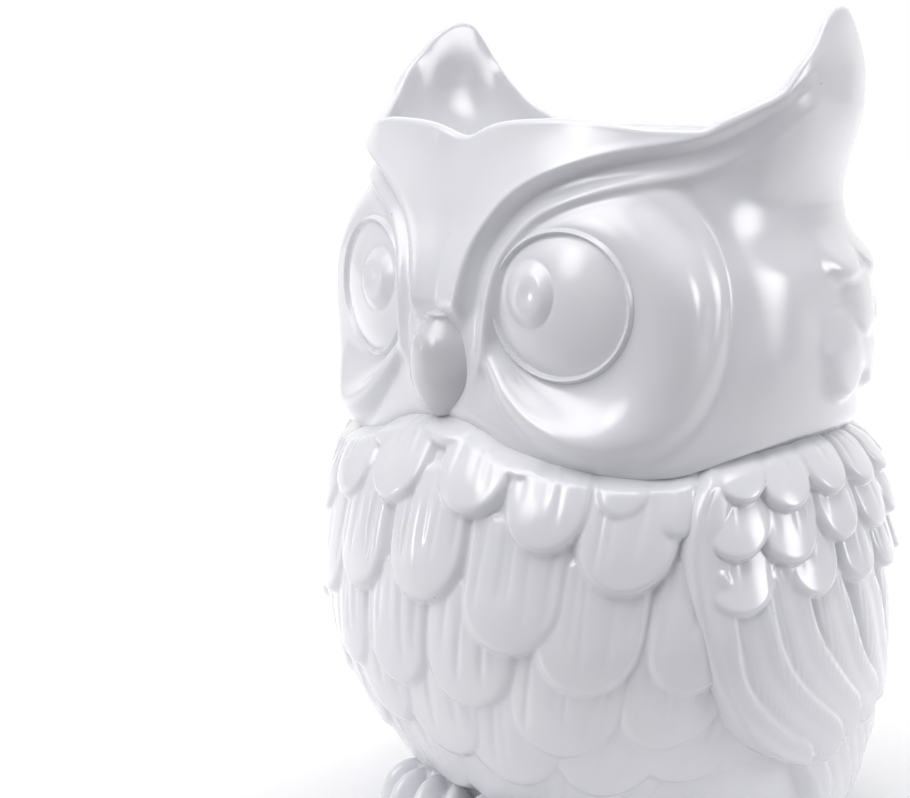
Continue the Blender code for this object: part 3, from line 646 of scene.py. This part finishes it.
def ball(bm, centre, size, turn=0.0, pitch=0.0):
    made = bmesh.ops.create_uvsphere(bm, u_segments=28, v_segments=18, radius=1.0)["verts"]
    for v in made:
        p = Vector((v.co.x * size[0], v.co.y * size[1], v.co.z * size[2]))
        ca, sa = math.cos(pitch), math.sin(pitch)
        p = Vector((p.x, p.y * ca - p.z * sa, p.y * sa + p.z * ca))
        ct, st = math.cos(turn), math.sin(turn)
        x = p.x * ct - p.y * st + centre[0]
        y = p.x * st + p.y * ct + centre[1]
        v.co = Vector((x, y, p.z + centre[2])) * MM


def make_foot(side):
    """Foot with four plump toes, blended by remeshing, resting flat on the ground."""
    bm = bmesh.new()
    middle = 20.2 * side
    ball(bm, (middle, -50.5, 11.5), (16.8, 19.0, 28.0))
    for x, y, turn in ((-12.2, -64.5, 20), (-4.4, -69.5, 7), (4.4, -69.0, -7), (12.6, -62.8, -24)):
        heading = math.radians(-turn * side)
        ball(bm, (middle + x * side, y, 12.2), (5.1, 13.0, 14.6), heading, 0.42)
        nose = Vector((math.sin(heading), -math.cos(heading))) * 9.0
        ball(bm, (middle + x * side + nose.x, y + nose.y, 5.4), (4.7, 5.6, 5.4), heading, 0.3)
    mesh = bpy.data.meshes.new("foot")
    bm.to_mesh(mesh)
    bm.free()
    obj = bpy.data.objects.new(("left" if side > 0 else "right") + "_foot", mesh)
    bpy.context.scene.collection.objects.link(obj)
    remesh = obj.modifiers.new("blend", "REMESH")
    remesh.mode = "VOXEL"
    remesh.voxel_size = 0.0006
    relax = obj.modifiers.new("relax", "SMOOTH")
    relax.factor = 0.5
    relax.iterations = 5
    depsgraph = bpy.context.evaluated_depsgraph_get()
    shaped = bpy.data.meshes.new_from_object(obj.evaluated_get(depsgraph))
    obj.modifiers.clear()
    obj.data = shaped
    points = np.empty(len(shaped.vertices) * 3, np.float32)
    shaped.vertices.foreach_get("co", points)
    points = points.reshape(-1, 3)
    points[:, 2] = np.maximum(points[:, 2], 0.0)
    shaped.vertices.foreach_set("co", points.reshape(-1))
    shaped.shade_smooth()
    return obj


def make_plug():
    """Rubber stopper: chamfered stem, flange and grip knob."""
    floor = float(PLUG_LOW[2]) + 6.7
    profile = [(0.0, -6.7), (4.6, -6.7), (5.4, -6.4), (5.9, -5.6), (6.1, -4.6), (6.15, -0.4), (6.3, 0.0),
               (11.0, 0.0), (11.4, 0.25), (11.5, 0.8), (11.4, 1.4), (11.0, 1.9), (10.0, 2.3), (6.6, 2.7),
               (4.4, 3.0), (3.7, 3.5), (3.3, 4.3), (3.3, 5.0), (3.8, 6.0), (4.3, 6.9), (4.3, 7.8), (3.8, 8.6),
               (2.8, 9.1), (1.4, 9.25), (0.0, 9.3)]
    spokes = np.linspace(0.0, 2.0 * math.pi, 96, endpoint=False)
    radius = np.array([max(p[0], 0.01) for p in profile])[:, None]
    height = np.array([p[1] for p in profile])[:, None] + floor
    points = np.stack(np.broadcast_arrays(radius * np.cos(spokes), radius * np.sin(spokes), height), axis=-1)
    obj = grid_object("plug", points, wrap_across=True)
    close_poles(obj)
    return obj


# ---- materials -----------------------------------------------------------------------------------

def new_material(name):
    mat = bpy.data.materials.new(name)
    mat.use_nodes = True
    return mat, mat.node_tree.nodes, mat.node_tree.links, mat.node_tree.nodes["Principled BSDF"]


def noise(nodes, links, coords, scale, detail=2.0, rough=0.5):
    tex = nodes.new("ShaderNodeTexNoise")
    tex.inputs["Scale"].default_value = scale
    tex.inputs["Detail"].default_value = detail
    tex.inputs["Roughness"].default_value = rough
    links.new(coords.outputs["Object"], tex.inputs["Vector"])
    return tex


def ramp(nodes, links, source, stops):
    node = nodes.new("ShaderNodeValToRGB")
    node.color_ramp.elements[0].position = stops[0][0]
    node.color_ramp.elements[0].color = (*stops[0][1], 1.0)
    node.color_ramp.elements[1].position = stops[-1][0]
    node.color_ramp.elements[1].color = (*stops[-1][1], 1.0)
    for place, colour in stops[1:-1]:
        node.color_ramp.elements.new(place).color = (*colour, 1.0)
    links.new(source, node.inputs["Fac"])
    return node


def glaze(name, tone):
    """White gloss glaze: faint clouding, a little pooling, rare dark pinholes, a slow ripple. A tone below 1
    darkens the whole colour as painted shade.
    """
    mat, nodes, links, shader = new_material(name)
    coords = nodes.new("ShaderNodeTexCoord")
    clouds = noise(nodes, links, coords, 26.0, 3.0)
    thin = tuple(tone * part for part in (0.800, 0.802, 0.836))
    thick = tuple(tone * part for part in (0.842, 0.842, 0.870))
    tint = ramp(nodes, links, clouds.outputs["Fac"], [(0.32, thin), (0.68, thick)])
    specks = nodes.new("ShaderNodeTexVoronoi")
    specks.inputs["Scale"].default_value = 95.0
    links.new(coords.outputs["Object"], specks.inputs["Vector"])
    pin = nodes.new("ShaderNodeMath")
    pin.operation = "LESS_THAN"
    pin.inputs[1].default_value = 0.022
    links.new(specks.outputs["Distance"], pin.inputs[0])
    rare = noise(nodes, links, coords, 60.0, 0.0)
    chosen = nodes.new("ShaderNodeMath")
    chosen.operation = "GREATER_THAN"
    chosen.inputs[1].default_value = 0.62
    links.new(rare.outputs["Fac"], chosen.inputs[0])
    both = nodes.new("ShaderNodeMath")
    both.operation = "MULTIPLY"
    links.new(pin.outputs[0], both.inputs[0])
    links.new(chosen.outputs[0], both.inputs[1])
    mix = nodes.new("ShaderNodeMix")
    mix.data_type = "RGBA"
    links.new(both.outputs[0], mix.inputs["Factor"])
    links.new(tint.outputs["Color"], mix.inputs["A"])
    mix.inputs["B"].default_value = (0.16, 0.12, 0.10, 1.0)
    links.new(mix.outputs["Result"], shader.inputs["Base Color"])
    ripple = noise(nodes, links, coords, 42.0, 1.5)
    bump = nodes.new("ShaderNodeBump")
    bump.inputs["Strength"].default_value = 0.10
    bump.inputs["Distance"].default_value = 0.0006
    links.new(ripple.outputs["Fac"], bump.inputs["Height"])
    links.new(bump.outputs["Normal"], shader.inputs["Normal"])
    links.new(bump.outputs["Normal"], shader.inputs["Coat Normal"])
    shader.inputs["Roughness"].default_value = 0.30
    shader.inputs["IOR"].default_value = 1.5
    shader.inputs["Coat Weight"].default_value = 1.0
    shader.inputs["Coat Roughness"].default_value = 0.035
    shader.inputs["Coat IOR"].default_value = 1.55
    return mat


def rubber():
    mat, nodes, links, shader = new_material("grey rubber")
    coords = nodes.new("ShaderNodeTexCoord")
    grain = noise(nodes, links, coords, 900.0, 4.0)
    tint = ramp(nodes, links, grain.outputs["Fac"], [(0.3, (0.17, 0.17, 0.18)), (0.7, (0.23, 0.23, 0.24))])
    links.new(tint.outputs["Color"], shader.inputs["Base Color"])
    bump = nodes.new("ShaderNodeBump")
    bump.inputs["Strength"].default_value = 0.25
    bump.inputs["Distance"].default_value = 0.0002
    links.new(grain.outputs["Fac"], bump.inputs["Height"])
    links.new(bump.outputs["Normal"], shader.inputs["Normal"])
    shader.inputs["Roughness"].default_value = 0.55
    return mat


def studio_floor():
    mat, nodes, links, shader = new_material("studio floor with painted glow and shade")
    coords = nodes.new("ShaderNodeTexCoord")
    shader.inputs["Roughness"].default_value = 0.6
    away = nodes.new("ShaderNodeVectorMath")
    away.operation = "DOT_PRODUCT"
    away.inputs[1].default_value = (-0.7071, 0.7071, 0.0)
    links.new(coords.outputs["Object"], away.inputs[0])
    # Painted glow: the floor emits light, none in front of the owl and rising behind it, so the floor reads
    # white there and lights the owl from below.
    painted_glow = nodes.new("ShaderNodeMapRange")
    painted_glow.interpolation_type = "SMOOTHSTEP"
    painted_glow.inputs["From Min"].default_value = -0.06
    painted_glow.inputs["From Max"].default_value = 0.30
    painted_glow.inputs["To Max"].default_value = 0.50
    links.new(away.outputs["Value"], painted_glow.inputs["Value"])
    # Painted shade: the floor colour falls to 0.20 towards the camera and stays 0.92 behind the owl, so the
    # floor in front throws less light onto the owl's lower front.
    near = nodes.new("ShaderNodeMapRange")
    near.interpolation_type = "SMOOTHSTEP"
    near.inputs["From Min"].default_value = -0.32
    near.inputs["From Max"].default_value = -0.08
    links.new(away.outputs["Value"], near.inputs["Value"])
    grain = noise(nodes, links, coords, 3.0)
    painted_front_shade = ramp(nodes, links, near.outputs["Result"], [(0.0, (0.20, 0.20, 0.21)), (1.0, (0.92, 0.92, 0.925))])
    mottle = ramp(nodes, links, grain.outputs["Fac"], [(0.3, (0.98, 0.98, 0.98)), (0.7, (1.0, 1.0, 1.0))])
    tint = nodes.new("ShaderNodeMix")
    tint.data_type = "RGBA"
    tint.blend_type = "MULTIPLY"
    tint.inputs["Factor"].default_value = 1.0
    links.new(painted_front_shade.outputs["Color"], tint.inputs["A"])
    links.new(mottle.outputs["Color"], tint.inputs["B"])
    links.new(tint.outputs["Result"], shader.inputs["Base Color"])
    shader.inputs["Emission Color"].default_value = (1.0, 1.0, 1.0, 1.0)
    links.new(painted_glow.outputs["Result"], shader.inputs["Emission Strength"])
    return mat


# ---- studio --------------------------------------------------------------------------------------

CAMERA_TURN = 45.0                       # degrees round from straight ahead, to the owl's left
CAMERA_RISE = 10.0
CAMERA_AWAY = 0.614
CAMERA_LENS = 67.0
AIM_ASIDE = -0.0533                      # the owl stands right of the picture's middle
AIM_HEIGHT = 0.155
LIGHT_HEIGHT = 0.15                      # height of the point that the lights face


def direction(turn, rise):
    """Unit vector from the owl towards a turn and a rise, both in degrees."""
    turn, rise = math.radians(turn), math.radians(rise)
    return Vector((math.sin(turn) * math.cos(rise), -math.cos(turn) * math.cos(rise), math.sin(rise)))


def add_camera():
    back = direction(CAMERA_TURN, CAMERA_RISE)
    right = direction(CAMERA_TURN + 90.0, 0.0)
    data = bpy.data.cameras.new("camera")
    data.lens = CAMERA_LENS
    data.sensor_width = 36.0
    data.clip_start = 0.02
    cam = bpy.data.objects.new("camera", data)
    aim = right * AIM_ASIDE + Vector((0.0, 0.0, AIM_HEIGHT))
    cam.location = aim + back * CAMERA_AWAY
    cam.rotation_mode = "QUATERNION"
    cam.rotation_quaternion = (-back).to_track_quat("-Z", "Y")
    bpy.context.scene.collection.objects.link(cam)
    bpy.context.scene.camera = cam


def softbox(name, turn, rise, away, size, watts):
    """Rectangular studio light, aimed at the owl's middle, that fades towards its edges."""
    back = direction(turn, rise)
    data = bpy.data.lights.new(name, "AREA")
    data.shape = "RECTANGLE"
    data.size, data.size_y = size
    data.energy = watts
    light = bpy.data.objects.new(name, data)
    light.location = Vector((0.0, 0.0, LIGHT_HEIGHT)) + back * away
    light.rotation_mode = "QUATERNION"
    light.rotation_quaternion = back.to_track_quat("Z", "Y")
    light.visible_camera = False
    bpy.context.scene.collection.objects.link(light)
    data.use_nodes = True
    nodes, links = data.node_tree.nodes, data.node_tree.links
    surface = nodes.new("ShaderNodeNewGeometry")
    centre = nodes.new("ShaderNodeVectorMath")
    centre.operation = "SUBTRACT"
    centre.inputs[1].default_value = (0.5, 0.5, 0.0)
    links.new(surface.outputs["Parametric"], centre.inputs[0])
    flat = nodes.new("ShaderNodeVectorMath")
    flat.operation = "MULTIPLY"
    flat.inputs[1].default_value = (1.0, 1.0, 0.0)
    links.new(centre.outputs[0], flat.inputs[0])
    reach = nodes.new("ShaderNodeVectorMath")
    reach.operation = "LENGTH"
    links.new(flat.outputs[0], reach.inputs[0])
    fade = nodes.new("ShaderNodeMapRange")
    fade.interpolation_type = "SMOOTHSTEP"
    fade.inputs["From Min"].default_value = 0.5
    fade.inputs["From Max"].default_value = 0.12
    fade.inputs["To Max"].default_value = 2.2
    links.new(reach.outputs["Value"], fade.inputs["Value"])
    links.new(fade.outputs["Result"], nodes["Emission"].inputs["Strength"])


def add_world():
    """White behind the owl, greyer towards the front, as a room behind the camera."""
    world = bpy.data.worlds.new("studio")
    world.use_nodes = True
    bpy.context.scene.world = world
    nodes, links = world.node_tree.nodes, world.node_tree.links
    background = nodes["Background"]
    coords = nodes.new("ShaderNodeTexCoord")
    facing = nodes.new("ShaderNodeVectorMath")
    facing.operation = "DOT_PRODUCT"
    facing.inputs[1].default_value = (0.50, -0.79, -0.34)
    links.new(coords.outputs["Generated"], facing.inputs[0])
    share = nodes.new("ShaderNodeMapRange")
    share.inputs["From Min"].default_value = -1.0
    share.inputs["From Max"].default_value = 1.0
    links.new(facing.outputs["Value"], share.inputs["Value"])
    shade = ramp(nodes, links, share.outputs["Result"],
                 [(0.0, (1.0, 1.0, 1.0)), (0.12, (1.0, 1.0, 1.0)), (0.20, (0.60, 0.60, 0.62)),
                  (0.45, (0.46, 0.46, 0.485)), (0.75, (0.30, 0.30, 0.32)), (1.0, (0.15, 0.15, 0.165))])
    links.new(shade.outputs["Color"], background.inputs["Color"])
    background.inputs["Strength"].default_value = 1.0


def add_floor():
    mesh = bpy.data.meshes.new("floor")
    reach = 6.0
    mesh.from_pydata([(-reach, -reach, 0), (reach, -reach, 0), (reach, reach, 0), (-reach, reach, 0)], [],
                     [(0, 1, 2, 3)])
    obj = bpy.data.objects.new("floor", mesh)
    obj.location.z = -0.0002
    bpy.context.scene.collection.objects.link(obj)
    obj.data.materials.append(studio_floor())


# ---- assembly ------------------------------------------------------------------------------------

def place(obj, body, material, slot, *nodes):
    obj.data.materials.clear()
    obj.data.materials.append(material)
    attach(obj, body)
    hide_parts(*nodes)


def build():
    white = glaze("white glaze", 1.0)
    # Painted shade: the beak gets the same white glaze darkened to 0.80, standing in for the self-shadow and
    # dark reflections on the beak.
    painted_shade_glaze = glaze("white glaze with painted shade", 0.80)
    place(make_torso(), "owl", white, "glaze_white", "body_shell")
    place(make_head(), "owl", white, "glaze_white", "head_shell", "left_ear_tuft", "right_ear_tuft",
          "left_brow", "right_brow", "left_facial_disc", "right_facial_disc")
    place(make_beak(), "owl", painted_shade_glaze, "glaze_white", "beak")
    place(make_tail(), "owl", white, "glaze_white", "tail")
    for side, name in ((1, "left"), (-1, "right")):
        place(make_eye(side), "owl", white, "glaze_white", name + "_eye")
        place(make_wing(side), "owl", white, "glaze_white", name + "_wing")
        place(make_foot(side), "owl", white, "glaze_white", name + "_foot")
    place(make_plug(), "plug", rubber(), "rubber_grey", "drain_plug")


build()
add_floor()
add_world()
add_camera()
softbox("side box", 115.0, 14.0, 1.3, (0.60, 0.90), 4.2)
softbox("strip box", -38.0, 5.0, 1.3, (0.14, 0.46), 0.7)
softbox("fill box", 4.0, 27.0, 1.5, (0.70, 0.90), 3.2)
softbox("front top box", 0.0, 50.0, 1.3, (1.7, 1.4), 10.4)
softbox("top box", 90.0, 80.0, 1.3, (1.2, 1.2), 6.0)
bpy.context.scene.view_settings.view_transform = "Standard"
